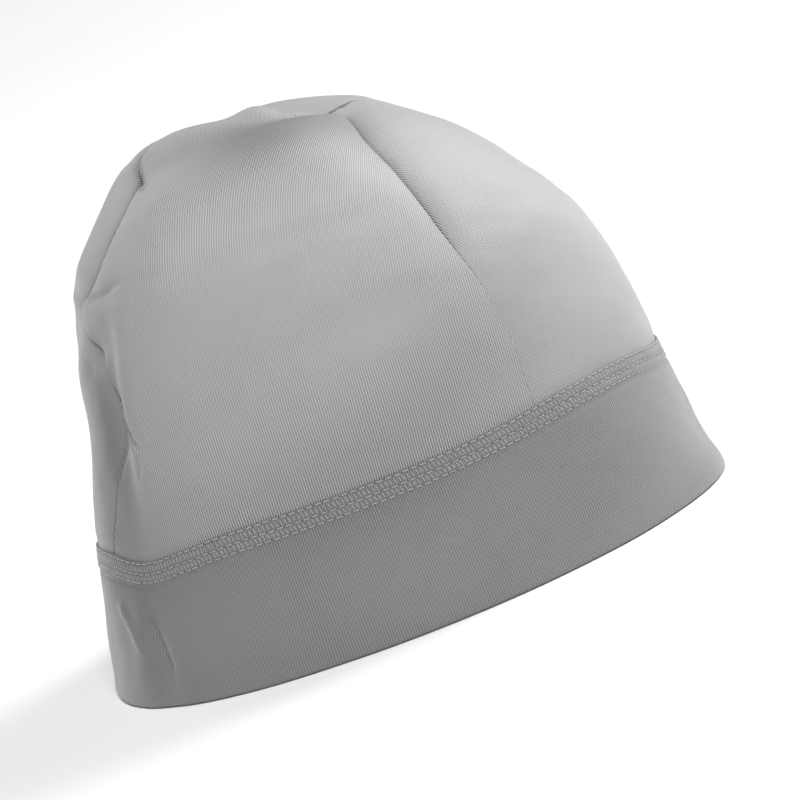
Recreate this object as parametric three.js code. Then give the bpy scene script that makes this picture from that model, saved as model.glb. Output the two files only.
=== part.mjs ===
import * as THREE from 'three';

// Skull cap, in millimetres: +X is the front, +Y the wearer's left and +Z is up.
// The origin lies on the surface that the rim rests on, in the middle of the cap.
// Four tapering crown panels meet at one point on top and stand on a folded hem band.

// Sizes of the cap
const CAP_LENGTH = 205;
const CAP_WIDTH = 160;
const CAP_HEIGHT = 160;
const BAND_HEIGHT = 46;
const PANEL_WALL = 1.2;
const BAND_WALL = 2;
const PIECE_GAP = 0.3;

// Share of the band's wall that is rounded off at each side of the fold at its foot
const FOLD_ROUNDING = 0.3;

// Shape of a level section: 2 is an ellipse, more is boxier, less is more pointed
const FRONT_FULLNESS = 1.95;
const BACK_FULLNESS = 2.4;

// How far a panel swells above its seams, and how wide the valley at a seam is
const PANEL_PUFF = 3.2;
const SEAM_VALLEY = 7;

// Faces across and up a panel, and round and up the band
const PANEL_COLUMNS = 18;
const PANEL_ROWS = 24;
const BAND_COLUMNS = 72;
const BAND_ROWS = 5;

// Share by which a panel's columns crowd towards its seams
const COLUMN_CROWDING = 0.65;

// Level sections of the band. x is a share of half the length, y of half the width
// and z of the band's height; centreX is where the widest line of the section lies.
const BAND_SECTIONS = [
  { z: 0, frontX: 1, backX: -1, sideY: 1, centreX: -0.12 },
  { z: 0.5, frontX: 0.975, backX: -0.95, sideY: 1.005, centreX: -0.12 },
  { z: 1, frontX: 0.94, backX: -0.895, sideY: 1, centreX: -0.12 },
];

// Sections of the crown, from the band to the point where the seams meet. Each is a ring
// that may be tilted: z is a share of the crown's own height at its front, back and side.
const CROWN_SECTIONS = [
  { frontX: 0.94, frontZ: 0, backX: -0.895, backZ: 0, sideY: 1, sideZ: 0, centreX: -0.12 },
  { frontX: 0.905, frontZ: 0.2, backX: -0.825, backZ: 0.2, sideY: 0.975, sideZ: 0.21, centreX: -0.12 },
  { frontX: 0.86, frontZ: 0.39, backX: -0.765, backZ: 0.4, sideY: 0.925, sideZ: 0.4, centreX: -0.12 },
  { frontX: 0.75, frontZ: 0.56, backX: -0.705, backZ: 0.58, sideY: 0.84, sideZ: 0.58, centreX: -0.1 },
  { frontX: 0.6, frontZ: 0.7, backX: -0.61, backZ: 0.74, sideY: 0.72, sideZ: 0.74, centreX: -0.08 },
  { frontX: 0.45, frontZ: 0.8, backX: -0.455, backZ: 0.88, sideY: 0.56, sideZ: 0.87, centreX: -0.03 },
  { frontX: 0.33, frontZ: 0.87, backX: -0.29, backZ: 0.95, sideY: 0.36, sideZ: 0.93, centreX: 0.05 },
  { frontX: 0.265, frontZ: 0.89, backX: 0, backZ: 0.95, sideY: 0.16, sideZ: 0.925, centreX: 0.14 },
  { frontX: 0.23, frontZ: 0.895, backX: 0.23, backZ: 0.895, sideY: 0, sideZ: 0.895, centreX: 0.23 },
];

// Where the four seams run at each of those sections, in degrees round from the front by
// the wearer's left, and how far the panels swell there, as a share of PANEL_PUFF
const SEAM_COURSES = [
  { rightFront: -50, leftFront: 50, leftBack: 144, rightBack: 211, puff: 0 },
  { rightFront: -48, leftFront: 50, leftBack: 144, rightBack: 217, puff: 0.1 },
  { rightFront: -46, leftFront: 48, leftBack: 144, rightBack: 221, puff: 0.3 },
  { rightFront: -45, leftFront: 42, leftBack: 145, rightBack: 216, puff: 0.6 },
  { rightFront: -44, leftFront: 34, leftBack: 146, rightBack: 211, puff: 0.85 },
  { rightFront: -43, leftFront: 27, leftBack: 148, rightBack: 208, puff: 1 },
  { rightFront: -42, leftFront: 23, leftBack: 150, rightBack: 189, puff: 1 },
  { rightFront: -42, leftFront: 22, leftBack: 150, rightBack: 186, puff: 0.7 },
  { rightFront: -42, leftFront: 22, leftBack: 150, rightBack: 186, puff: 0.5 },
];

// Folds and hollows pressed into the cloth. Angle is in degrees from the front and rising
// counts sections up from the rim; turn is the way the fold runs, in degrees from level.
// Length and width are shares of CAP_LENGTH, and so is depth, below zero for a ridge.
const FOLDS = [
  { angle: 206, rising: 7.5, turn: 120, length: 0.035, width: 0.022, depth: 0.011 },
  { angle: 182, rising: 7.3, turn: 0, length: 0.09, width: 0.03, depth: -0.01 },
  { angle: 202, rising: 8.3, turn: 0, length: 0.12, width: 0.06, depth: -0.023 },
  { angle: 118, rising: 8.1, turn: 10, length: 0.16, width: 0.075, depth: 0.014 },
  { angle: 212, rising: 5.6, turn: 5, length: 0.07, width: 0.028, depth: 0.012 },
  { angle: 213, rising: 4.9, turn: 20, length: 0.055, width: 0.035, depth: 0.018 },
  { angle: 222, rising: 4, turn: 90, length: 0.12, width: 0.025, depth: 0.012 },
  { angle: 229, rising: 4, turn: 90, length: 0.14, width: 0.03, depth: -0.008 },
  { angle: 224, rising: 0.7, turn: 85, length: 0.08, width: 0.025, depth: 0.008 },
  { angle: 219, rising: 1, turn: 75, length: 0.08, width: 0.025, depth: -0.005 },
];

const BAND_TOP = BAND_SECTIONS.length - 1;
const APEX = BAND_TOP + CROWN_SECTIONS.length - 1;
const CROWN_HEIGHT = CAP_HEIGHT - BAND_HEIGHT;
const UP = new THREE.Vector3(0, 0, 1);

// Steps used to find the direction of a surface, in sections and in radians or shares
const SLOPE_STEP = 0.01;

const SECTIONS = absoluteSections();
const FOLD_FRAMES = FOLDS.map(foldFrame);

// Sections in millimetres, from the rim up. The band's top section is the crown's first.
function absoluteSections() {
  const halfLength = CAP_LENGTH / 2;
  const halfWidth = CAP_WIDTH / 2;
  const level = (row) => ({
    frontX: row.frontX * halfLength,
    backX: row.backX * halfLength,
    sideY: row.sideY * halfWidth,
    centreX: row.centreX * halfLength,
  });
  const band = BAND_SECTIONS.slice(0, BAND_TOP).map((row) => ({
    ...level(row),
    frontZ: row.z * BAND_HEIGHT,
    backZ: row.z * BAND_HEIGHT,
    sideZ: row.z * BAND_HEIGHT,
    ...SEAM_COURSES[0],
  }));
  const crown = CROWN_SECTIONS.map((row, index) => ({
    ...level(row),
    frontZ: BAND_HEIGHT + row.frontZ * CROWN_HEIGHT,
    backZ: BAND_HEIGHT + row.backZ * CROWN_HEIGHT,
    sideZ: BAND_HEIGHT + row.sideZ * CROWN_HEIGHT,
    ...SEAM_COURSES[index],
  }));
  return [...band, ...crown];
}

// A section at any height, by a smooth curve through the rows of the table
function sectionAt(rising) {
  const last = SECTIONS.length - 1;
  const low = Math.min(Math.floor(rising), last - 1);
  const f = rising - low;
  const section = {};
  for (const key of Object.keys(SECTIONS[0])) {
    const b = SECTIONS[low][key];
    const c = SECTIONS[low + 1][key];
    const a = low > 0 ? SECTIONS[low - 1][key] : 2 * b - c;
    const d = low + 2 <= last ? SECTIONS[low + 2][key] : 2 * c - b;
    const slope = ((3 * b - a - 3 * c + d) * f + 2 * a - 5 * b + 4 * c - d) * f + c - a;
    section[key] = b + 0.5 * f * slope;
  }
  return section;
}

// A point of the smooth outer form, before seams and folds
function formPoint(angle, rising) {
  const section = sectionAt(rising);
  const forward = Math.cos(angle) >= 0;
  const fullness = forward ? FRONT_FULLNESS : BACK_FULLNESS;
  const along = Math.abs(Math.cos(angle));
  const across = Math.abs(Math.sin(angle));
  const reach = (along ** fullness + across ** fullness) ** (-1 / fullness);
  const endX = forward ? section.frontX : section.backX;
  const endZ = forward ? section.frontZ : section.backZ;
  const blend = along * reach;
  return new THREE.Vector3(
    section.centreX + (endX - section.centreX) * blend,
    section.sideY * reach * Math.sin(angle),
    section.sideZ + (endZ - section.sideZ) * blend * blend,
  );
}

// The outward direction of a surface that is given by two numbers, each within its limits
function outwardOf(surface, [u, lowU, highU], [v, lowV, highV]) {
  const alongU = surface(Math.min(u + SLOPE_STEP, highU), v)
    .sub(surface(Math.max(u - SLOPE_STEP, lowU), v));
  const alongV = surface(u, Math.min(v + SLOPE_STEP, highV))
    .sub(surface(u, Math.max(v - SLOPE_STEP, lowV)));
  return alongU.cross(alongV).normalize();
}

function formOutward(angle, rising) {
  const short = Math.min(rising, APEX - SLOPE_STEP);
  return outwardOf(formPoint, [angle, -Infinity, Infinity], [short, 0, APEX]);
}

// Where a fold lies on the form and which way it runs
function foldFrame(fold) {
  const angle = THREE.MathUtils.degToRad(fold.angle);
  const turn = THREE.MathUtils.degToRad(fold.turn);
  const outward = formOutward(angle, fold.rising);
  const level = UP.clone().cross(outward).normalize();
  const upward = outward.clone().cross(level);
  return {
    centre: formPoint(angle, fold.rising),
    outward,
    along: level.clone().multiplyScalar(Math.cos(turn)).addScaledVector(upward, Math.sin(turn)),
    across: upward.clone().multiplyScalar(Math.cos(turn)).addScaledVector(level, -Math.sin(turn)),
    length: fold.length * CAP_LENGTH,
    width: fold.width * CAP_LENGTH,
    depth: fold.depth * CAP_LENGTH,
  };
}

// How deep the folds press the cloth in at a point of the form
function foldDepth(point) {
  let depth = 0;
  for (const fold of FOLD_FRAMES) {
    const away = point.clone().sub(fold.centre);
    const along = away.dot(fold.along) / fold.length;
    const across = away.dot(fold.across) / fold.width;
    const through = away.dot(fold.outward) / fold.length;
    depth += fold.depth * Math.exp(-(along ** 2) - across ** 2 - through ** 2);
  }
  return depth;
}

// The band's outer surface, by the angle round the cap
function bandSurface(angle, rising) {
  const point = formPoint(angle, rising);
  return point.addScaledVector(formOutward(angle, rising), -foldDepth(point));
}

// A panel's outer surface. across goes from 0 at its first seam to 1 at its second, and
// between the seams the panel swells out.
function panelSurface(seams) {
  return (across, rising) => {
    const section = sectionAt(rising);
    const [first, second] = seams(section).map(THREE.MathUtils.degToRad);
    const angle = THREE.MathUtils.lerp(first, second, across);
    const point = formPoint(angle, rising);
    const swell = (seam) => 1 - Math.exp(-point.distanceTo(formPoint(seam, rising)) / SEAM_VALLEY);
    const lift = section.puff * PANEL_PUFF * swell(first) * swell(second) - foldDepth(point);
    return point.addScaledVector(formOutward(angle, rising), lift);
  };
}

// A closed mesh from its corner points and from faces of three or four corners
function solid(points, faces) {
  const index = [];
  for (const [a, b, c, d] of faces) {
    index.push(a, b, c);
    if (d !== undefined) {
      index.push(a, c, d);
    }
  }
  const positions = points.flatMap((point) => point.toArray());
  const geometry = new THREE.BufferGeometry();
  geometry.setAttribute('position', new THREE.Float32BufferAttribute(positions, 3));
  geometry.setIndex(index);
  geometry.computeVertexNormals();
  return geometry;
}

// The share across a panel at which a column stands, with more columns near the seams
function columnShare(column) {
  const even = column / PANEL_COLUMNS;
  return even - (COLUMN_CROWDING / (2 * Math.PI)) * Math.sin(2 * Math.PI * even);
}

// The share of a panel's width that its edge keeps back from a seam, at 0 or 1 across
function seamMargin(surface, seam, rising) {
  const inside = Math.abs(seam - SLOPE_STEP);
  const speed = surface(seam, rising).distanceTo(surface(inside, rising)) / SLOPE_STEP;
  return PIECE_GAP / 2 / speed;
}

// The faces of a sheet whose corners are numbered by row and column: its outer and inner
// face, its two side edges and its foot. Above the last row all columns meet at the tip.
function panelFaces(tip) {
  const width = PANEL_COLUMNS + 1;
  const layer = PANEL_ROWS * width;
  const outer = (row, column) => (row === PANEL_ROWS ? tip : row * width + column);
  const inner = (row, column) => (row === PANEL_ROWS ? tip + 1 : layer + row * width + column);
  const faces = [];
  for (let row = 0; row < PANEL_ROWS; row += 1) {
    for (let column = 0; column < PANEL_COLUMNS; column += 1) {
      const beside = column + 1;
      faces.push([outer(row, column), outer(row, beside), outer(row + 1, beside), outer(row + 1, column)]);
      faces.push([inner(row, beside), inner(row, column), inner(row + 1, column), inner(row + 1, beside)]);
    }
    for (const [near, far] of [[outer, inner], [inner, outer]]) {
      const column = near === outer ? 0 : PANEL_COLUMNS;
      faces.push([near(row, column), near(row + 1, column), far(row + 1, column), far(row, column)]);
    }
  }
  for (let column = 0; column < PANEL_COLUMNS; column += 1) {
    faces.push([inner(0, column), inner(0, column + 1), outer(0, column + 1), outer(0, column)]);
  }
  return faces;
}

// One crown panel: a curved sheet of cloth whose sides run up to a point
function panelGeometry(seams) {
  const surface = panelSurface(seams);
  const outer = [];
  const inner = [];
  const add = (across, rising, foot) => {
    const point = surface(across, rising);
    const outward = outwardOf(surface, [across, 0, 1], [rising, BAND_TOP, APEX]);
    if (foot) {
      point.z += PIECE_GAP;
      outward.setZ(0).normalize();
    }
    outer.push(point);
    inner.push(point.clone().addScaledVector(outward, -PANEL_WALL));
  };
  for (let row = 0; row < PANEL_ROWS; row += 1) {
    const rising = THREE.MathUtils.lerp(BAND_TOP, APEX, row / PANEL_ROWS);
    const first = seamMargin(surface, 0, rising);
    const second = 1 - seamMargin(surface, 1, rising);
    for (let column = 0; column <= PANEL_COLUMNS; column += 1) {
      add(THREE.MathUtils.lerp(first, second, columnShare(column)), rising, row === 0);
    }
  }
  const lastSection = surface(0.5, APEX - 1).distanceTo(surface(0.5, APEX));
  add(0.5, APEX - PIECE_GAP / lastSection, false);
  const outerTip = outer.pop();
  const innerTip = inner.pop();
  const points = [...outer, ...inner, outerTip, innerTip];
  return solid(points, panelFaces(points.length - 2));
}

// The hem band: double cloth with a rounded fold at its foot, flat where it rests
function bandGeometry() {
  const rounding = FOLD_ROUNDING * BAND_WALL;
  const points = [];
  for (let column = 0; column < BAND_COLUMNS; column += 1) {
    const angle = (2 * Math.PI * column) / BAND_COLUMNS;
    const outer = [];
    const inner = [];
    for (let row = 0; row <= BAND_ROWS; row += 1) {
      const rising = BAND_TOP * Math.max(row / BAND_ROWS, rounding / BAND_HEIGHT);
      const outward = outwardOf(bandSurface, [angle, -Infinity, Infinity], [rising, 0, BAND_TOP]);
      outward.setZ(0).normalize();
      outer.push(bandSurface(angle, rising));
      inner.unshift(outer[row].clone().addScaledVector(outward, -BAND_WALL));
    }
    const footOuter = outer[0].clone().lerp(inner.at(-1), FOLD_ROUNDING).setZ(0);
    const footInner = inner.at(-1).clone().lerp(outer[0], FOLD_ROUNDING).setZ(0);
    points.push(footOuter, ...outer, ...inner, footInner);
  }
  const ring = points.length / BAND_COLUMNS;
  const faces = [];
  for (let column = 0; column < BAND_COLUMNS; column += 1) {
    const here = column * ring;
    const next = ((column + 1) % BAND_COLUMNS) * ring;
    for (let corner = 0; corner < ring; corner += 1) {
      const above = (corner + 1) % ring;
      faces.push([here + corner, next + corner, next + above, here + above]);
    }
  }
  return solid(points, faces);
}

function cloth(color) {
  return new THREE.MeshStandardMaterial({ color, roughness: 0.7, metalness: 0 });
}

function piece(name, geometry, color) {
  const mesh = new THREE.Mesh(geometry, cloth(color));
  mesh.name = name;
  return mesh;
}

// The panels by the angles of the two seams that bound them, counted round by the left
const PANELS = [
  { name: 'front_panel', color: 0xb4b3b0, seams: (s) => [s.rightFront, s.leftFront] },
  { name: 'left_panel', color: 0xa8a7a4, seams: (s) => [s.leftFront, s.leftBack] },
  { name: 'back_panel', color: 0x9c9b98, seams: (s) => [s.leftBack, s.rightBack] },
  { name: 'right_panel', color: 0xa5a4a1, seams: (s) => [s.rightBack, s.rightFront + 360] },
];

const skullCap = new THREE.Group();
for (const { name, color, seams } of PANELS) {
  skullCap.add(piece(name, panelGeometry(seams), color));
}
skullCap.add(piece('hem_band', bandGeometry(), 0x9f9e9b));

export default skullCap;
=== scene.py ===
import bpy
import numpy as np
from mathutils import Matrix, Vector


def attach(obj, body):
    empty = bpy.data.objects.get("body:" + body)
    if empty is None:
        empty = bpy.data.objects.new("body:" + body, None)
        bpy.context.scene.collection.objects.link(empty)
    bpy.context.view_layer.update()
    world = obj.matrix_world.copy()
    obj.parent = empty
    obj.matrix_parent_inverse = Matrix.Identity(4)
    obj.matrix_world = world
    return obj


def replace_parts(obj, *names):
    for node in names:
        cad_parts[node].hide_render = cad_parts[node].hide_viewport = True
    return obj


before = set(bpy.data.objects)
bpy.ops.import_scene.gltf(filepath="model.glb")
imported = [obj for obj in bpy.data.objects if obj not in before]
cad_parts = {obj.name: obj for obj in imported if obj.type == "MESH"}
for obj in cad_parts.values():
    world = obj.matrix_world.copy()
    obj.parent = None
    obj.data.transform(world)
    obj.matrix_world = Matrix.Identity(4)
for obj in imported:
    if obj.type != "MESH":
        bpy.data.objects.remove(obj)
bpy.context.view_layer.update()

# Skull cap, in metres: +X is the front, +Y the wearer's left and +Z is up.
# Four crown panels and a folded hem band, each a closed sheet of ribbed stretch cloth, with the
# threads of the cover stitch that joins crown and band and of the seams between the panels.

MM = 0.001

# Sizes of the cap
CAP_LENGTH = 205 * MM
CAP_WIDTH = 160 * MM
CAP_HEIGHT = 160 * MM
BAND_HEIGHT = 46 * MM
CROWN_HEIGHT = CAP_HEIGHT - BAND_HEIGHT
PANEL_WALL = 1.2 * MM
BAND_WALL = 2 * MM

# Shape of a level section: 2 is an ellipse, more is boxier, less is more pointed
FRONT_FULLNESS = 1.95
BACK_FULLNESS = 2.4

# How far a panel swells above its seams, and how wide the valley at a seam is
PANEL_PUFF = 3.2 * MM
SEAM_VALLEY = 7 * MM

# Sections of the cap from the rim up, as shares: x of half the length, y of half the width, z
# of the band's height in the first two rows and of the crown's in the rest
SECTION_COLUMNS = ("front_x", "front_z", "back_x", "back_z", "side_y", "side_z", "centre_x")
BAND_SECTIONS = (
    (1, 0, -1, 0, 1, 0, -0.12),
    (0.975, 0.5, -0.95, 0.5, 1.005, 0.5, -0.12),
)
CROWN_SECTIONS = (
    (0.94, 0, -0.895, 0, 1, 0, -0.12),
    (0.905, 0.2, -0.825, 0.2, 0.975, 0.21, -0.12),
    (0.86, 0.39, -0.765, 0.4, 0.925, 0.4, -0.12),
    (0.75, 0.56, -0.705, 0.58, 0.84, 0.58, -0.1),
    (0.6, 0.7, -0.61, 0.74, 0.72, 0.74, -0.08),
    (0.45, 0.8, -0.455, 0.88, 0.56, 0.87, -0.03),
    (0.33, 0.87, -0.29, 0.95, 0.36, 0.93, 0.05),
    (0.265, 0.89, 0, 0.95, 0.16, 0.925, 0.14),
    (0.23, 0.895, 0.23, 0.895, 0, 0.895, 0.23),
)
BAND_TOP = len(BAND_SECTIONS)
APEX = BAND_TOP + len(CROWN_SECTIONS) - 1

# Where the seams run, as angle in degrees round from the front by the left and rising in
# sections, and how far the panels swell at each crown section, as a share of PANEL_PUFF
SEAM_COURSES = {
    "right_front": (
        (-50, 2), (-48, 3), (-48, 3.8), (-48, 4.4), (-47.5, 5), (-46, 5.5), (-44, 6),
        (-41, 6.6), (-38, 7.1), (-30, 7.8), (-16, 8.5), (-8, 9.2), (-6, 10),
    ),
    "left_front": ((50, 2), (50, 3), (48, 4), (42, 5), (34, 6), (27, 7), (23, 8), (22, 10)),
    "left_back": ((144, 2), (144, 4), (145, 5), (146, 6), (148, 7), (150, 8), (150, 10)),
    "right_back": (
        (210, 2), (213, 2.5), (219, 3.3), (222, 3.7), (221, 4.2), (218, 4.6), (213, 4.83),
        (203, 5.05), (196, 5.25), (194, 5.45), (198, 5.6), (206, 5.78), (210, 6), (212, 6.5),
        (213, 6.8), (211, 7.2), (206, 7.5), (196, 7.75), (189, 8.2), (186, 10),
    ),
}
PUFF = (0, 0.1, 0.3, 0.6, 0.85, 1, 0.65, 0.15, 0)

# At each crown section, in millimetres: how deep the seam's edges turn in, and how much
# lower than its neighbour the cloth lies on one side of it
SEAM_GROOVES = {
    "right_front": (0.15, 0.1, 0.15, 1.5, 1.9, 1.9, 2, 2, 1.8),
    "left_front": (0.3, 0.3, 0.4, 0.6, 0.7, 0.6, 0.3, 0.15, 0.1),
    "left_back": (0.4, 0.4, 0.5, 0.8, 1, 1, 1, 0.9, 0.8),
    "right_back": (0.5, 0.3, 0.5, 1, 1.5, 1.5, 1.3, 1, 0.8),
}
SEAM_STEPS = {
    "right_front": (0, 0, 0, 1.5, 2.3, 2.5, 2.6, 2.6, 2.4),
    "left_front": (0, 0, 0, 0.2, 0.3, 0.3, 0.1, 0, 0),
    "left_back": (0, 0, 0.1, 0.3, 0.5, 0.5, 0.4, 0.3, 0.2),
    "right_back": (0, 0, 1, 1.4, 0.4, 0.4, 0.4, 0.3, 0.2),
}
# At each crown section, how strongly the ribs stand out beside the seam through painted shade in
# their grooves and in the seam, and how much of the valley between the swelling panels there is
SEAM_PAINTED_SHADE = {
    "right_front": (0.15, 0.1, 0.15, 1.5, 1.9, 1.9, 2.1, 2.4, 2.5),
    "left_front": (0.3, 0.3, 0.4, 0.6, 0.7, 0.6, 0.3, 0.15, 0.1),
    "left_back": (0.4, 0.4, 0.5, 0.8, 1, 1, 1, 0.9, 0.8),
    "right_back": (0.3, 0.2, 0.25, 0.4, 1.3, 1.6, 1.6, 1.3, 1),
}
SEAM_VALLEYS = {
    "right_front": (1, 1, 1, 1, 1, 1, 1, 1, 1),
    "left_front": (1, 1, 1, 1, 0.9, 0.6, 0.3, 0.1, 0),
    "left_back": (1, 1, 1, 1, 1, 1, 1, 1, 1),
    "right_back": (1, 1, 1, 1, 1, 1, 1, 1, 1),
}
GROOVE_WIDTH = 1 * MM
STEP_WIDTH = 4.2 * MM

# Broad folds and hollows: angle in degrees, rising in sections, turn from level in degrees,
# then length, width and depth as shares of CAP_LENGTH, with depth below zero for a ridge
FOLD_COLUMNS = ("angle", "rising", "turn", "length", "width", "amount")
FOLDS = (
    (206, 7.5, 120, 0.03, 0.02, 0.008),
    (180, 7.2, 0, 0.1, 0.035, 0.003),
    (160, 7.75, 0, 0.06, 0.04, 0.006),
    (202, 8.3, 0, 0.12, 0.06, -0.023),
    (195, 9.15, 0, 0.04, 0.04, -0.02),
    (66, 8, 0, 0.06, 0.05, 0.003),
    (28, 7.4, 0, 0.05, 0.05, -0.004),
    (20, 7.6, 0, 0.05, 0.04, -0.005),
    (3, 5, 90, 0.085, 0.1, 0.0095),
    (355, 2.6, 90, 0.08, 0.1, -0.0085),
    (350, 0.75, 90, 0.06, 0.13, 0.008),
    (118, 8.1, 10, 0.16, 0.075, 0.008),
    (212, 5.6, 8, 0.07, 0.028, 0.006),
    (213, 4.9, 20, 0.055, 0.035, 0.018),
    (222, 4, 90, 0.12, 0.025, 0.012),
    (229, 4, 90, 0.14, 0.03, -0.008),
    (224, 0.7, 85, 0.08, 0.025, 0.008),
    (219, 1, 75, 0.08, 0.025, -0.005),
    (184, 6.6, 0, 0.13, 0.07, 0.0095),
    (190, 4.9, 0, 0.08, 0.04, 0.008),
    (188, 3.7, 0, 0.12, 0.1, 0.009),
    (350, 0, 0, 0.13, 0.03, -0.01),
)

# Sharp creases: the depth and the width on each side in millimetres, above zero for a groove,
# and the path as angle in degrees and rising in sections
CREASES = (
    (1.2, 0.7, 1.5, ((194, 5.48), (203, 5.58), (210, 5.64), (217, 5.69), (223, 5.75), (233, 5.83))),
    (-0.9, 1.4, 1.4, ((196, 5.0), (203, 4.86), (210, 4.7), (215, 4.5))),
    (1.7, 1, 3.4, ((219, 4.4), (221, 4.1), (223, 3.8), (226, 3.62), (229, 3.5), (231, 3.42))),
    (1, 0.8, 1.6, ((222, 3.85), (222, 3.57), (219, 3.3), (217, 3.0))),
    (0.7, 0.8, 1.6, ((229, 3.55), (228.5, 3.3), (227, 3.1))),
    (1.3, 1, 2.8, ((221, 1.4), (222, 1.27), (224, 0.92), (225, 0.67), (226, 0.5), (226, 0.2))),
    (-0.8, 2.4, 2.4, ((211, 1.55), (213, 1.4), (217, 1.1), (220, 0.82), (222, 0.5))),
    (0.35, 3, 5, ((245, 3.02), (258, 2.92), (270, 2.85), (277, 2.77))),
    (1.6, 1.2, 2, ((226, 7.22), (219, 7.35), (212, 7.5), (206, 7.58), (202, 7.62))),
)

# Soft patches of painted shade, and of painted light where the amount is below zero: place and
# size as for a fold, and how dark, below zero where they are lighter
PAINTED_SHADES = (
    (277, 8.1, 0, 0.11, 0.085, 1.4),
    (224, 8, 0, 0.1, 0.07, 0.4),
    (34, 8.1, 0, 0.09, 0.06, -0.3),
    (350, 4.2, 0, 0.15, 0.12, -0.2),
    (290, 4, 0, 0.09, 0.035, -0.15),
    (300, 3.2, 20, 0.22, 0.1, 0.25),
    (338, 2.5, 0, 0.1, 0.06, 0.15),
    (311, 0.95, 10, 0.14, 0.08, 0.2),
    (270, 2.3, 0, 0.42, 0.09, 0.5),
    (212, 3.5, 90, 0.2, 0.09, 1.25),
    (222, 1, 90, 0.16, 0.09, 0.15),
    (140, 4.5, 70, 0.25, 0.12, 0.18),
    (75, 4.2, 20, 0.2, 0.1, 0.16),
)

# Places where the ribs hardly show, as a fold's, with how much they fade
SMOOTH = (
    (266, 5.1, 0, 0.21, 0.085, 0.85),
    (290, 4.0, 0, 0.09, 0.04, 0.8),
    (215, 4.2, 90, 0.2, 0.08, 0.8),
    (222, 1.2, 0, 0.12, 0.12, 0.6),
    (350, 1.0, 0, 0.12, 0.2, 0.8),
)

# How far the joint of crown and band strays from level: angle and width in degrees, height
JOINT_WAVES = (
    (224, 12, -4.2 * MM),
    (200, 9, -1 * MM),
    (179, 15, -4.4 * MM),
    (239, 7, -0.8 * MM),
    (321, 15, 1.8 * MM),
    (352, 11, -1.6 * MM),
    (15, 22, -5.5 * MM),
    (141, 14, -1.4 * MM),
)
JOINT_REACH = 22 * MM

# The band's lip laps over the foot of the crown and is held there by the cover stitch. Heights
# of the lip's edge and of the needle rows are above the joint; radii are those of the threads.
LIP_HEIGHT = 3.95 * MM
LIP_THICKNESS = 0.5 * MM
NEEDLE_ROWS = (3.5 * MM, 0.35 * MM, -2.3 * MM)
ROW_SHIFT = 0.33
STITCH_PITCH = 2.85 * MM
NEEDLE_THREAD = 0.155 * MM
COVER_THREAD = 0.1 * MM

# Ribs of the cloth
RIB_PITCH = 0.8
KNIT_PITCH = 1.9


def curve_through(values, at):
    """A smooth curve through evenly spaced values, read at places counted from the first."""
    values = np.asarray(values, float)
    ends = np.concatenate(
        [[2 * values[0] - values[1]], values, [2 * values[-1] - values[-2]]]
    )
    low = np.clip(np.floor(at).astype(int), 0, len(values) - 2)
    f = at - low
    a, b, c, d = (ends[low + k] for k in range(4))
    slope = ((3 * b - a - 3 * c + d) * f + 2 * a - 5 * b + 4 * c - d) * f + c - a
    return b + 0.5 * f * slope


def absolute_sections():
    """The sections of the whole cap, one list of metres for each column."""
    half_length, half_width = CAP_LENGTH / 2, CAP_WIDTH / 2
    sections = {}
    for index, name in enumerate(SECTION_COLUMNS):
        band = np.array([row[index] for row in BAND_SECTIONS], float)
        crown = np.array([row[index] for row in CROWN_SECTIONS], float)
        if name.endswith("_z"):
            sections[name] = np.append(band * BAND_HEIGHT, BAND_HEIGHT + crown * CROWN_HEIGHT)
        else:
            scale = half_width if name.endswith("_y") else half_length
            sections[name] = np.append(band, crown) * scale
    return sections


SECTIONS = absolute_sections()


def along_crown(values, rising):
    """A value that is given at each crown section, and stays the same below them."""
    return curve_through(values, np.maximum(rising, BAND_TOP) - BAND_TOP)


def seam_angle(seam, rising):
    """The angle at which a seam runs, smoothed a little between the points of its course."""
    angles, risings = zip(*SEAM_COURSES[seam])
    near = [np.interp(rising + shift, risings, angles) for shift in (-0.1, -0.05, 0, 0.05, 0.1)]
    return np.radians(np.mean(near, axis=0))


def form_point(angle, rising):
    """Points of the smooth outer form, before seams and folds."""
    angle, rising = np.broadcast_arrays(angle, rising)
    section = {name: curve_through(values, rising) for name, values in SECTIONS.items()}
    forward = np.cos(angle) >= 0
    fullness = np.where(forward, FRONT_FULLNESS, BACK_FULLNESS)
    along, across = np.abs(np.cos(angle)), np.abs(np.sin(angle))
    reach = (along**fullness + across**fullness) ** (-1 / fullness)
    end_x = np.where(forward, section["front_x"], section["back_x"])
    end_z = np.where(forward, section["front_z"], section["back_z"])
    blend = along * reach
    x = section["centre_x"] + (end_x - section["centre_x"]) * blend
    y = section["side_y"] * reach * np.sin(angle)
    z = section["side_z"] + (end_z - section["side_z"]) * blend**2
    return np.stack([x, y, z], axis=-1)


def unit(vectors):
    return vectors / np.linalg.norm(vectors, axis=-1, keepdims=True)


def form_outward(angle, rising):
    """The outward direction of the smooth form."""
    step = 0.01
    rising = np.clip(rising, step, APEX - 2 * step)
    round_it = form_point(angle + step, rising) - form_point(angle - step, rising)
    up_it = form_point(angle, rising + step) - form_point(angle, rising - step)
    return unit(np.cross(round_it, up_it))


def spots(points, table):
    """The sum of soft elongated spots, each a row of place, turn, length, width and amount."""
    total = np.zeros(points.shape[:-1])
    for row in table:
        spot = dict(zip(FOLD_COLUMNS, row))
        angle, turn = np.radians(spot["angle"]), np.radians(spot["turn"])
        outward = form_outward(angle, spot["rising"])
        level = unit(np.cross([0, 0, 1], outward))
        upward = np.cross(outward, level)
        away = points - form_point(angle, spot["rising"])
        length, width = spot["length"] * CAP_LENGTH, spot["width"] * CAP_LENGTH
        along = away @ (level * np.cos(turn) + upward * np.sin(turn)) / length
        across = away @ (upward * np.cos(turn) - level * np.sin(turn)) / width
        through = away @ outward / length
        total += spot["amount"] * np.exp(-(along**2) - across**2 - through**2)
    return total


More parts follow.
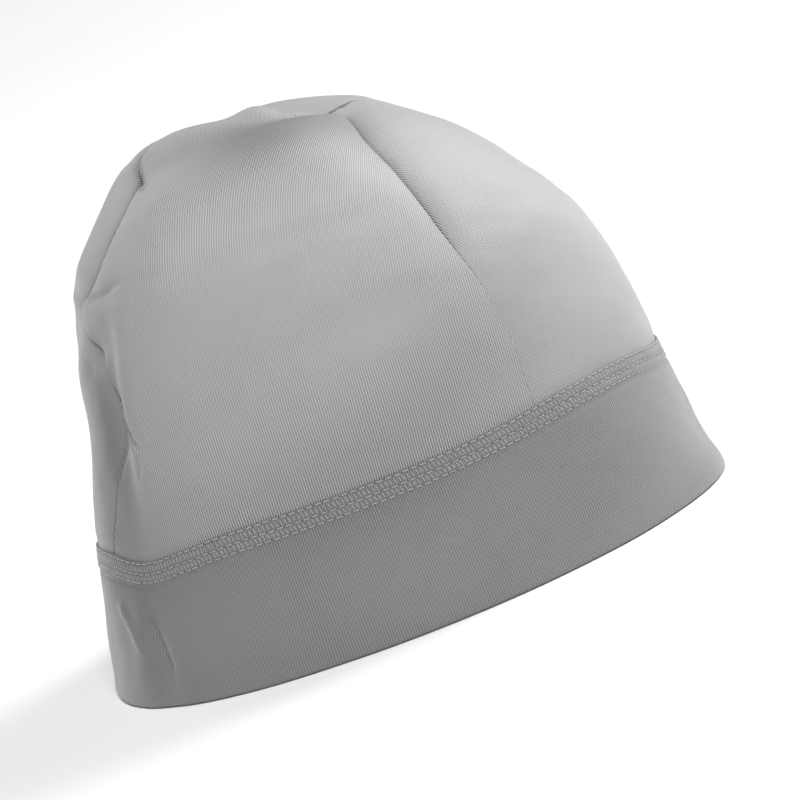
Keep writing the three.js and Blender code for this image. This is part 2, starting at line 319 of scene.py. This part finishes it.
def crease_depth(points):
    """How deep the sharp creases press the cloth in, each fading out at its two ends."""
    depth = np.zeros(points.shape[:-1])
    for deep, near_width, far_width, course in CREASES:
        angles, risings = np.radians([p[0] for p in course]), np.array([p[1] for p in course])
        stops = np.linspace(0, len(course) - 1, 8 * len(course))
        fine_angle = curve_through(angles, stops)
        fine_rising = curve_through(risings, stops)
        path = form_point(fine_angle, fine_rising)
        outward = form_outward(fine_angle, fine_rising)
        reach = 4 * max(near_width, far_width) * MM
        middle = path.mean(axis=0)
        radius = np.linalg.norm(path - middle, axis=1).max() + reach
        close = np.linalg.norm(points - middle, axis=-1) < radius
        here = points[close]
        best = np.full(len(here), np.inf)
        side = np.zeros(len(here))
        share = np.zeros(len(here))
        for index in range(len(path) - 1):
            run = path[index + 1] - path[index]
            away = here - path[index]
            part = np.clip(away @ run / (run @ run), 0, 1)
            apart = away - part[:, None] * run
            distance = np.linalg.norm(apart, axis=1)
            nearer = distance < best
            best = np.where(nearer, distance, best)
            side = np.where(nearer, apart @ np.cross(outward[index], run), side)
            share = np.where(nearer, (index + part) / (len(path) - 1), share)
        width = np.where(side > 0, far_width, near_width) * MM
        fade = np.clip(np.minimum(share, 1 - share) / 0.3, 0, 1)
        fade = fade * fade * (3 - 2 * fade)
        depth[close] += deep * MM * fade * np.exp(-((best / width) ** 2))
    return depth


def waviness(points, height, wavelength, seed, count=14):
    """A gentle unevenness made of plane waves that run in all directions."""
    draw = np.random.default_rng(seed)
    total = np.zeros(points.shape[:-1])
    for _ in range(count):
        way = unit(draw.normal(size=3))
        stretch = draw.uniform(0.7, 1.5)
        phase = draw.uniform(0, 2 * np.pi)
        total += np.sin(2 * np.pi / (wavelength * stretch) * (points @ way) + phase)
    return height * total / np.sqrt(count / 2)


def relief(points):
    """What folds, creases and unevenness add to the smooth form."""
    return (
        waviness(points, 0.22 * MM, 38 * MM, seed=5)
        + waviness(points, 0.05 * MM, 11 * MM, seed=6)
        - CAP_LENGTH * spots(points, FOLDS)
        - crease_depth(points)
    )


def crown_relief(points):
    """The relief of the crown, which the cover stitch draws in beside the band's lip."""
    above = points[..., 2] - BAND_HEIGHT - LIP_HEIGHT
    tuck = np.exp(-((np.maximum(above, 0) / (2.6 * MM)) ** 2))
    return relief(points) - 0.55 * MM * tuck


def band_relief(points):
    """The relief of the band, with the flat ridge that the rows of stitches press into."""
    above = points[..., 2] - BAND_HEIGHT
    ridge = 0.22 * MM / (1 + np.exp(-(above + 3 * MM) / (0.25 * MM)))
    under = 0.2 * MM * np.exp(-(((above + 3.8 * MM) / (0.8 * MM)) ** 2))
    rows = sum(np.exp(-(((above - row) / (0.5 * MM)) ** 2)) for row in NEEDLE_ROWS)
    return relief(points) + ridge - under - 0.22 * MM * rows


def settle(points, angle):
    """Moves points up or down with the joint of crown and band, most at the joint itself."""
    degrees = np.degrees(angle)
    rise = np.zeros(points.shape[:-1])
    for centre, width, height in JOINT_WAVES:
        turn = (degrees - centre + 180) % 360 - 180
        rise = rise + height * np.exp(-((turn / width) ** 2))
    z = points[..., 2]
    share = np.exp(-(((z - BAND_HEIGHT) / JOINT_REACH) ** 2)) * np.clip(z / (12 * MM), 0, 1)
    moved = points.copy()
    moved[..., 2] += rise * share
    return moved


def turned_in(distance, width, depth):
    """How deep an edge has rolled inwards at a distance from it."""
    share = np.clip(1 - distance / width, 0, 1)
    return depth * (1 - np.sqrt(1 - share**2))


def crowded(count, crowding):
    """Shares from 0 to 1 that stand closer together at both ends."""
    even = np.linspace(0, 1, count)
    return even - crowding / (2 * np.pi) * np.sin(2 * np.pi * even)


def even_risings(angle, count):
    """Sections at equal steps of length from the joint to the apex, along one angle."""
    fine = np.linspace(BAND_TOP, APEX - 0.03, 2000)
    points = form_point(np.full_like(fine, angle), fine)
    length = np.append(0, np.cumsum(np.linalg.norm(np.diff(points, axis=0), axis=1)))
    return np.interp(np.linspace(0, length[-1], count), length, fine), np.linspace(
        0, length[-1], count
    )


def sheet_faces(rows, columns):
    """Faces of a closed sheet: a fine outer grid, an inner grid with every second row and
    column of it, and the four edges between them."""
    outer = np.arange(rows * columns).reshape(rows, columns)
    inner = rows * columns + np.arange(((rows + 1) // 2) * ((columns + 1) // 2)).reshape(
        (rows + 1) // 2, (columns + 1) // 2
    )
    faces = grid_faces(outer) + grid_faces(inner[:, ::-1])
    bottom = list(zip(inner[0], inner[0, 1:], outer[0, 2::2], outer[0, 1::2], outer[0, 0::2]))
    top = list(
        zip(outer[-1, 0::2], outer[-1, 1::2], outer[-1, 2::2], inner[-1, 1:], inner[-1])
    )
    first = list(
        zip(outer[0::2, 0], outer[1::2, 0], outer[2::2, 0], inner[1:, 0], inner[:, 0])
    )
    last = list(
        zip(inner[:, -1], inner[1:, -1], outer[2::2, -1], outer[1::2, -1], outer[0::2, -1])
    )
    return faces + bottom + top + first + last


def grid_faces(grid):
    corners = (grid[:-1, :-1], grid[:-1, 1:], grid[1:, 1:], grid[1:, :-1])
    return np.stack(corners, axis=-1).reshape(-1, 4).tolist()


def make_piece(name, points, faces, material, cloth=None, **values):
    """A smooth mesh object that rides on the cap. cloth holds the place on the flat cloth in
    millimetres, and values are numbers at each point for the material."""
    mesh = bpy.data.meshes.new(name)
    mesh.from_pydata(points.tolist(), [], [list(map(int, face)) for face in faces])
    if cloth is not None:
        corner = np.empty(len(mesh.loops), int)
        mesh.loops.foreach_get("vertex_index", corner)
        layer = mesh.uv_layers.new(name="cloth")
        layer.data.foreach_set("uv", cloth[corner].astype(np.float32).ravel())
    for title, numbers in values.items():
        attribute = mesh.attributes.new(title, "FLOAT", "POINT")
        attribute.data.foreach_set("value", numbers.astype(np.float32).ravel())
    mesh.polygons.foreach_set("use_smooth", [True] * len(mesh.polygons))
    mesh.set_sharp_from_angle(angle=np.radians(60))
    mesh.materials.append(material)
    piece = bpy.data.objects.new(name, mesh)
    bpy.context.scene.collection.objects.link(piece)
    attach(piece, "root")
    return piece


def panel_piece(name, first, second, lower, columns, ribs, material):
    """One crown panel between two seams. lower says whether it is the lower one of the two
    panels at its seams, and ribs how strongly its ribs show."""
    rows = 241
    turn = 2 * np.pi if second == "right_front" else 0
    middle = (seam_angle(first, 5) + seam_angle(second, 5) + turn) / 2
    risings, lengths = even_risings(middle, rows)
    rising, across = np.meshgrid(risings, crowded(columns, 0.88), indexing="ij")
    start, end = seam_angle(first, rising), seam_angle(second, rising) + turn
    angle = start + (end - start) * across
    form = form_point(angle, rising)
    outward = form_outward(angle, rising)
    lift = along_crown(PUFF, rising) * PANEL_PUFF
    edges = {}
    for seam in SEAM_COURSES:
        line = form_point(seam_angle(seam, rising), rising)
        away = np.cross(form - line, unit(np.gradient(line, axis=0)))
        edges[seam] = np.linalg.norm(away, axis=-1)
        valley = along_crown(SEAM_VALLEYS[seam], rising) * np.exp(-edges[seam] / SEAM_VALLEY)
        lift = lift * (1 - valley)
    lift = lift + crown_relief(form)
    # Painted shade for the material: a painted shadow on the crown just above the band's lip, and
    # painted shade in and beside the seams, wider on the lower panel
    foot = np.maximum(form[..., 2] - BAND_HEIGHT - LIP_HEIGHT, 0)
    seam_and_lip_shade = 0.7 * np.exp(-foot / (2 * MM))
    for seam in (first, second):
        distance = edges[seam]
        groove = along_crown(SEAM_GROOVES[seam], rising) * MM
        hatch = along_crown(SEAM_PAINTED_SHADE[seam], rising)
        seam_and_lip_shade = seam_and_lip_shade + hatch * np.exp(-distance / ((2.8 if lower else 1) * MM))
        step = along_crown(SEAM_STEPS[seam], rising) * MM
        if lower:
            lift -= step * np.exp(-((distance / STEP_WIDTH) ** 1.5))
            lift -= turned_in(distance, GROOVE_WIDTH, groove)
        else:
            lift -= turned_in(distance, GROOVE_WIDTH, groove + step)
    outer = settle(form + outward * lift[..., None], angle)
    inner = settle(form + outward * (lift - PANEL_WALL)[..., None], angle)[::2, ::2]

    stretch = np.linalg.norm(np.diff(form, axis=1), axis=-1)
    travelled = np.concatenate([np.zeros((rows, 1)), np.cumsum(stretch, axis=1)], axis=1)
    middles = [np.interp(middle, *row) for row in zip(angle, travelled)]
    sideways = travelled - np.array(middles)[:, None]
    cloth = np.stack([sideways, np.broadcast_to(lengths[:, None], angle.shape)], -1) / MM

    def both_sides(grid):
        width = grid.shape[-1] if grid.ndim == 3 else 1
        return np.concatenate([grid.reshape(-1, width), grid[::2, ::2].reshape(-1, width)])

    # The values for the material carry painted shade along the seams and above the band's lip, and
    # the soft patches of painted shade and painted light
    piece = make_piece(
        name,
        np.concatenate([outer.reshape(-1, 3), inner.reshape(-1, 3)]),
        sheet_faces(rows, columns),
        material,
        both_sides(cloth),
        seam=both_sides(seam_and_lip_shade),
        shade=both_sides(spots(form, PAINTED_SHADES)),
        ribs=both_sides(ribs * (1 - spots(form, SMOOTH))),
    )
    return piece


def joint_rising(level):
    """The rising of a level in the band or in the lowest part of the crown."""
    crown_step = SECTIONS["side_z"][BAND_TOP + 1] - BAND_HEIGHT
    below = level / BAND_HEIGHT * BAND_TOP
    return np.where(level < BAND_HEIGHT, below, BAND_TOP + (level - BAND_HEIGHT) / crown_step)


def joint_lengths():
    """Angles round the joint and the distance round it from the front to each of them."""
    fine = np.linspace(0, 2 * np.pi, 4000)
    points = form_point(fine, np.full_like(fine, BAND_TOP))
    length = np.append(0, np.cumsum(np.linalg.norm(np.diff(points, axis=0), axis=1)))
    return fine, length


def band_profile():
    """Heights and inward offsets round the band's wall: down its outside, round the fold at
    its foot, up its inside and round the lip at its top."""
    radius = BAND_WALL / 2
    edge = BAND_HEIGHT + LIP_HEIGHT
    bend = np.linspace(0, np.pi, 10)[1:-1]
    roll = np.linspace(np.pi, 0, 7)
    half_lip = LIP_THICKNESS / 2
    parts = (
        (np.linspace(edge - half_lip, BAND_HEIGHT - 6 * MM, 36)[1:], 0),
        (np.linspace(BAND_HEIGHT - 6 * MM, radius, 44)[1:], 0),
        (radius - radius * np.sin(bend), radius - radius * np.cos(bend)),
        (np.linspace(radius, BAND_HEIGHT - 0.3 * MM, 20), BAND_WALL),
        (edge - half_lip + half_lip * np.sin(roll), half_lip - half_lip * np.cos(roll)),
    )
    height = np.concatenate([part[0] for part in parts])
    inward = np.concatenate([part[1] + 0 * part[0] for part in parts])
    return height, inward


def band_piece(name, material):
    """The hem band: double cloth with a round fold at its foot and a stitched lip on top."""
    height, inward = band_profile()
    angles = np.linspace(0, 2 * np.pi, 640, endpoint=False)
    angle, level = np.meshgrid(angles, height, indexing="ij")
    form = form_point(angle, joint_rising(level))
    outward = form_outward(angle, joint_rising(level))
    outward[..., 2] = 0
    low = np.clip(level / (6 * MM), 0, 1)
    lift = band_relief(form) * (0.35 + 0.65 * low) - inward
    points = settle(form + unit(outward) * lift[..., None], angle)
    index = np.arange(level.size).reshape(level.shape)
    ring = np.pad(index, ((0, 1), (0, 1)), mode="wrap")
    round_it = np.interp(angles, *joint_lengths())
    cloth = np.stack([np.broadcast_to(round_it[:, None], level.shape), level], -1) / MM
    # The values for the material carry the soft patches of painted shade and painted light
    piece = make_piece(
        name,
        points.reshape(-1, 3),
        grid_faces(ring[:, ::-1]),
        material,
        cloth.reshape(-1, 2),
        seam=np.zeros(level.size),
        shade=spots(form, PAINTED_SHADES),
        ribs=1 - spots(form, SMOOTH),
    )
    return piece


def joint_point(angle, above, proud):
    """A point at a height above the joint, proud of the band's cloth there."""
    rising = joint_rising(BAND_HEIGHT + above)
    form = form_point(angle, rising)
    outward = form_outward(angle, rising)
    lift = band_relief(form) + proud
    return settle(form + outward * lift[..., None], angle), outward


def tubes(paths, outward, radius, sides=6):
    """Closed threads round paths, with one row of points a thread."""
    run = unit(np.gradient(paths, axis=1))
    first = unit(outward - np.sum(outward * run, axis=-1, keepdims=True) * run)
    second = np.cross(run, first)
    steps = paths.shape[1]
    thin = radius * (1 - 0.75 * np.abs(np.linspace(-1, 1, steps)) ** 6)
    turn = np.linspace(0, 2 * np.pi, sides, endpoint=False)
    ring = (
        first[:, :, None] * np.cos(turn)[:, None] + second[:, :, None] * np.sin(turn)[:, None]
    )
    points = paths[:, :, None] + ring * thin[:, None, None]
    index = np.arange(steps * sides).reshape(steps, sides)
    closed = np.concatenate([index, index[:, :1]], axis=1)
    faces = grid_faces(closed[:, ::-1])
    ends = [index[0].tolist(), index[-1, ::-1].tolist()]
    size = steps * sides
    every = []
    for thread in range(len(paths)):
        every += [[corner + thread * size for corner in face] for face in faces + ends]
    return points.reshape(-1, 3), every


def joined(parts):
    """Several lots of points and faces as one."""
    points, faces, offset = [], [], 0
    for some_points, some_faces in parts:
        points.append(some_points)
        faces += [[corner + offset for corner in face] for face in some_faces]
        offset += len(some_points)
    return np.concatenate(points), faces


def cover_stitch(name, material):
    """Three rows of needle thread, and the finer thread that crosses between them."""
    fine, length = joint_lengths()
    count = round(length[-1] / STITCH_PITCH)
    starts = np.arange(count) / count
    draw = np.random.default_rng(11)
    along = np.linspace(0, 1, 8)

    def round_joint(stitches):
        return np.interp(stitches / count % 1 * length[-1], length, fine)

    parts = []
    for number, row in enumerate(NEEDLE_ROWS):
        shift = starts * count + ROW_SHIFT * number + draw.normal(0, 0.025, count)
        angle = round_joint(shift[:, None] + 0.1 + 0.8 * along)
        angle = np.unwrap(angle, axis=1)
        proud = (-0.3 + 0.55 * np.sin(np.pi * along) ** 0.5) * MM
        above = row + (draw.normal(0, 0.06, count) * MM)[:, None] + 0 * along
        path, outward = joint_point(angle, above, proud + 0 * angle)
        parts.append(tubes(path, outward, NEEDLE_THREAD))
    for number in range(len(NEEDLE_ROWS) - 1):
        upper, lower = NEEDLE_ROWS[number], NEEDLE_ROWS[number + 1]
        for half in (0, 0.5):
            shift = starts * count + ROW_SHIFT * number + half + draw.normal(0, 0.03, count)
            angle = round_joint(shift[:, None] + ROW_SHIFT * (along - 0.3))
            angle = np.unwrap(angle, axis=1)
            above = upper + (lower - upper) * along + 0 * angle
            proud = (-0.22 + 0.2 * np.sin(np.pi * along) ** 0.5) * MM
            path, outward = joint_point(angle, above, proud + 0 * angle)
            parts.append(tubes(path, outward, COVER_THREAD, sides=5))
    piece = make_piece(name, *joined(parts), material)
    return piece


def seam_stitches(name, material):
    """Short threads that show in the seams between the panels, across the groove."""
    parts = []
    pitch = 1.5 * MM
    for seam in SEAM_COURSES:
        fine = np.linspace(BAND_TOP + 0.4, APEX - 0.4, 1500)
        line = form_point(seam_angle(seam, fine), fine)
        length = np.append(0, np.cumsum(np.linalg.norm(np.diff(line, axis=0), axis=1)))
        rising = np.interp(np.arange(0, length[-1], pitch), length, fine)
        angle = seam_angle(seam, rising)
        centre = form_point(angle, rising)
        outward = form_outward(angle, rising)
        run = unit(form_point(seam_angle(seam, rising + 0.02), rising + 0.02) - centre)
        across = unit(np.cross(outward, run) + 0.25 * run)
        groove = along_crown(SEAM_GROOVES[seam], rising) * MM
        step = along_crown(SEAM_STEPS[seam], rising) * MM
        base = crown_relief(centre) - step - 0.8 * groove
        along = np.linspace(-1, 1, 6)
        sag = 0.2 * MM * (1 - along**2)
        path = (
            centre[:, None]
            + across[:, None] * (along * 0.4 * MM)[:, None]
            + outward[:, None] * (base[:, None] - sag)[..., None]
        )
        path = settle(path, np.broadcast_to(angle[:, None], path.shape[:-1]))
        parts.append(tubes(path, np.broadcast_to(outward[:, None], path.shape), 0.1 * MM, 5))
    piece = make_piece(name, *joined(parts), material)
    return piece


def new_material(name):
    material = bpy.data.materials.new(name)
    material.use_nodes = True
    nodes = material.node_tree.nodes
    return material, nodes, material.node_tree.links, nodes["Principled BSDF"]


def math_node(nodes, links, operation, *values):
    """A math node whose inputs are numbers or the outputs of other nodes."""
    node = nodes.new("ShaderNodeMath")
    node.operation = operation
    for socket, value in zip(node.inputs, values):
        if isinstance(value, bpy.types.NodeSocket):
            links.new(value, socket)
        else:
            socket.default_value = value
    return node.outputs[0]


def noise_node(nodes, links, vector, scale, detail=2, roughness=0.5):
    node = nodes.new("ShaderNodeTexNoise")
    node.inputs["Scale"].default_value = scale
    node.inputs["Detail"].default_value = detail
    node.inputs["Roughness"].default_value = roughness
    links.new(vector, node.inputs["Vector"])
    return node.outputs["Fac"]


def attribute_node(nodes, title):
    node = nodes.new("ShaderNodeAttribute")
    node.attribute_name = title
    return node.outputs["Fac"]


def mix_color(nodes, links, fac, low, high):
    node = nodes.new("ShaderNodeMix")
    node.data_type = "RGBA"
    for socket, value in ((node.inputs[0], fac), (node.inputs[6], low), (node.inputs[7], high)):
        if isinstance(value, bpy.types.NodeSocket):
            links.new(value, socket)
        else:
            socket.default_value = value
    return node.outputs[2]


def needle_hole_shade(math, place):
    """Painted shade in pits where the needle rows pierce the band, and in faint stripes between the
    rows: 1 in a pit and 0 away from them.
    """
    holes = 0
    for number, row in enumerate(NEEDLE_ROWS):
        turn = math("MULTIPLY_ADD", place[0], MM / STITCH_PITCH, 0.5 - ROW_SHIFT * number)
        off = math("SUBTRACT", math("FRACT", turn), 0.5)
        beside = math("DIVIDE", math("MULTIPLY", off, STITCH_PITCH / MM), 0.42)
        apart = math("DIVIDE", math("SUBTRACT", place[1], (BAND_HEIGHT + row) / MM), 0.36)
        square = math("MULTIPLY", beside, beside)
        square = math("MULTIPLY_ADD", apart, apart, square)
        holes = math("ADD", holes, math("EXPONENT", math("MULTIPLY", square, -1)))
    middle = (BAND_HEIGHT + (NEEDLE_ROWS[0] + NEEDLE_ROWS[2]) / 2) / MM
    reach = (NEEDLE_ROWS[0] - NEEDLE_ROWS[2]) / 2 / MM
    off = math("ABSOLUTE", math("SUBTRACT", place[1], middle))
    zone = math("LESS_THAN", off, reach)
    rungs = math("SINE", math("MULTIPLY", place[0], 4 * np.pi * MM / STITCH_PITCH))
    rungs = math("MULTIPLY_ADD", rungs, 0.14, 0.16)
    return math("MAXIMUM", holes, math("MULTIPLY", zone, rungs))


def cloth_material(name, light, dark, stitched=False):
    """Satin stretch cloth with fine ribs along the cut of each piece, with painted shade in the rib
    grooves, the seams and soft patches.
    """
    material, nodes, links, shader = new_material(name)

    def math(operation, *values):
        return math_node(nodes, links, operation, *values)

    cloth = nodes.new("ShaderNodeUVMap")
    cloth.uv_map = "cloth"
    split = nodes.new("ShaderNodeSeparateXYZ")
    links.new(cloth.outputs[0], split.inputs[0])
    place = nodes.new("ShaderNodeTexCoord").outputs["Object"]
    seam, shade, ribs = (attribute_node(nodes, title) for title in ("seam", "shade", "ribs"))

    stray = noise_node(nodes, links, cloth.outputs[0], 0.035, 1)
    across = math("ADD", split.outputs[0], math("MULTIPLY", stray, 1.5))
    rib_turn = math("MULTIPLY", across, 2 * np.pi / RIB_PITCH)
    rib = math("MULTIPLY_ADD", math("COSINE", rib_turn), 0.5, 0.5)
    half_rib = math("MULTIPLY", math("FLOOR", math("DIVIDE", across, RIB_PITCH)), 0.5)
    knit_turn = math("ADD", math("DIVIDE", split.outputs[1], KNIT_PITCH), half_rib)
    knit = math("MULTIPLY_ADD", math("SINE", math("MULTIPLY", knit_turn, 2 * np.pi)), 0.5, 0.5)
    fibre = noise_node(nodes, links, cloth.outputs[0], 2.2, 2, 0.7)
    patchy = noise_node(nodes, links, cloth.outputs[0], 0.09, 2, 0.6)
    # How strong the painted shade in the rib grooves is: patchy, stronger beside the seams and
    # above the lip, and scaled by the ribs value
    strong = math("MULTIPLY_ADD", patchy, 1.4, 0.3)
    strong = math("MULTIPLY", math("ADD", seam, strong), ribs)
    height = math("MULTIPLY", rib, math("MULTIPLY_ADD", knit, 0.45, 0.55))
    height = math("ADD", height, math("MULTIPLY", fibre, 0.3))

    cloudy = noise_node(nodes, links, place, 22, 2, 0.5)
    broad = noise_node(nodes, links, place, 9, 1, 0.5)
    tone = math("MULTIPLY_ADD", cloudy, 0.35, math("MULTIPLY", broad, 0.65))
    tone = math("MULTIPLY_ADD", math("SUBTRACT", tone, 0.5), 1.1, 0.5)
    base = mix_color(nodes, links, tone, dark, light)
    # Painted shade, mixed towards the deep colour: in the rib grooves, in and beside the seams,
    # above the band's lip, and in the soft patches, which are painted light below zero
    valley = math("MULTIPLY", math("SUBTRACT", 0.54, height), strong)
    valley = math("MULTIPLY_ADD", valley, 0.85, 0.2)
    valley = math("MULTIPLY_ADD", math("POWER", seam, 3), 0.25, valley)
    valley = math("MULTIPLY_ADD", shade, 0.5, valley)
    valley = math("MINIMUM", math("MAXIMUM", valley, 0), 0.9)
    # Painted shade in the needle holes and between the rows of the cover stitch, which also sink
    # the bump there
    if stitched:
        holes = needle_hole_shade(math, split.outputs)
        valley = math("MAXIMUM", valley, math("MULTIPLY", holes, 0.9))
        height = math("SUBTRACT", height, math("MULTIPLY", holes, 1.5))
    # The colour of the painted shade
    deep = tuple(0.25 * value for value in dark[:3]) + (1,)
    links.new(mix_color(nodes, links, valley, base, deep), shader.inputs["Base Color"])

    rough = math("MULTIPLY_ADD", cloudy, 0.16, 0.4)
    links.new(rough, shader.inputs["Roughness"])
    shader.inputs["Specular IOR Level"].default_value = 0.5
    shader.inputs["Sheen Weight"].default_value = 0.3
    shader.inputs["Sheen Roughness"].default_value = 0.4

    bump = nodes.new("ShaderNodeBump")
    bump.inputs["Strength"].default_value = 0.7
    bump.inputs["Distance"].default_value = 0.14 * MM
    links.new(height, bump.inputs["Height"])
    links.new(bump.outputs[0], shader.inputs["Normal"])
    return material


def thread_material(name, color):
    """Twisted polyester thread."""
    material, nodes, links, shader = new_material(name)
    place = nodes.new("ShaderNodeTexCoord").outputs["Object"]
    fibre = noise_node(nodes, links, place, 2600, 2, 0.7)
    dark = tuple(0.7 * value for value in color[:3]) + (1,)
    links.new(mix_color(nodes, links, fibre, dark, color), shader.inputs["Base Color"])
    rough = math_node(nodes, links, "MULTIPLY_ADD", fibre, 0.2, 0.38)
    links.new(rough, shader.inputs["Roughness"])
    shader.inputs["Sheen Weight"].default_value = 0.3
    bump = nodes.new("ShaderNodeBump")
    bump.inputs["Strength"].default_value = 0.4
    bump.inputs["Distance"].default_value = 0.05 * MM
    links.new(fibre, bump.inputs["Height"])
    links.new(bump.outputs[0], shader.inputs["Normal"])
    return material


def floor_material():
    material, nodes, links, shader = new_material("pale_floor")
    place = nodes.new("ShaderNodeTexCoord").outputs["Object"]
    speck = noise_node(nodes, links, place, 3, 2, 0.5)
    pale, paler = (0.8, 0.8, 0.8, 1), (0.84, 0.84, 0.84, 1)
    links.new(mix_color(nodes, links, speck, pale, paler), shader.inputs["Base Color"])
    shader.inputs["Roughness"].default_value = 0.85
    return material


def area_light(name, place, size, power, color=(1, 1, 1)):
    """A soft square light that faces the middle of the cap."""
    light = bpy.data.lights.new(name, "AREA")
    light.shape = "SQUARE"
    light.size = size
    light.energy = power
    light.color = color
    lamp = bpy.data.objects.new(name, light)
    lamp.location = place
    aim = Vector((0, 0, CAP_HEIGHT / 2)) - Vector(place)
    lamp.rotation_euler = aim.to_track_quat("-Z", "Y").to_euler()
    bpy.context.scene.collection.objects.link(lamp)


def photo_camera():
    """The camera at the photograph's angle, rolled so that the cap leans as it does there."""
    azimuth, elevation, roll = np.radians((5, 11.8, -20.8))
    distance = 1.8
    target = Vector((13.9 * MM, 0, 54.4 * MM))
    back = Vector(
        (
            np.sin(azimuth) * np.cos(elevation),
            -np.cos(azimuth) * np.cos(elevation),
            np.sin(elevation),
        )
    )
    right = Vector((0, 0, 1)).cross(back).normalized()
    up = back.cross(right)
    tilted_right = right * np.cos(roll) + up * np.sin(roll)
    tilted_up = up * np.cos(roll) - right * np.sin(roll)
    data = bpy.data.cameras.new("camera")
    data.sensor_width = 36
    data.lens = 257.5
    data.clip_start = 0.1
    data.clip_end = 50
    camera = bpy.data.objects.new("camera", data)
    turn = Matrix((tilted_right, tilted_up, back)).transposed().to_4x4()
    camera.matrix_world = Matrix.Translation(target + back * distance) @ turn
    bpy.context.scene.collection.objects.link(camera)
    bpy.context.scene.camera = camera


panel_cloth = cloth_material("panel_fabric", (0.45, 0.445, 0.43, 1), (0.35, 0.35, 0.35, 1))
# The band is the same cloth as the panels; its darker colours are painted shade
band_cloth_painted_shade = cloth_material("band_fabric", (0.28, 0.275, 0.265, 1), (0.215, 0.215, 0.215, 1), True)
thread = thread_material("stitch_thread", (0.49, 0.485, 0.47, 1))

PANELS = (
    ("front_panel", "right_front", "left_front", True, 181, 0.5),
    ("left_panel", "left_front", "left_back", False, 221, 1),
    ("back_panel", "left_back", "right_back", True, 161, 0.7),
    ("right_panel", "right_back", "right_front", False, 241, 1),
)
for node, *panel in PANELS:
    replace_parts(panel_piece(node + "_cloth", *panel, panel_cloth), node)
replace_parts(band_piece("hem_band_cloth", band_cloth_painted_shade), "hem_band")
cover_stitch("cover_stitch", thread)
seam_stitches("seam_stitches", thread)

bpy.ops.mesh.primitive_plane_add(size=16, location=(0, 0, -0.2 * MM))
floor = bpy.context.object
floor.name = "floor"
floor.data.materials.append(floor_material())

world = bpy.context.scene.world or bpy.data.worlds.new("world")
bpy.context.scene.world = world
world.use_nodes = True
background = world.node_tree.nodes["Background"]
background.inputs["Color"].default_value = (0.95, 0.96, 1, 1)
background.inputs["Strength"].default_value = 0.22
bpy.context.scene.view_settings.view_transform = "Standard"

area_light("key_light", (0.2, -1.8, 3.2), 2, 125)
area_light("back_light", (2.9, 1.5, 2.4), 2.2, 145)
area_light("fill_light", (-2.2, 2.6, 2), 2, 20)

photo_camera()
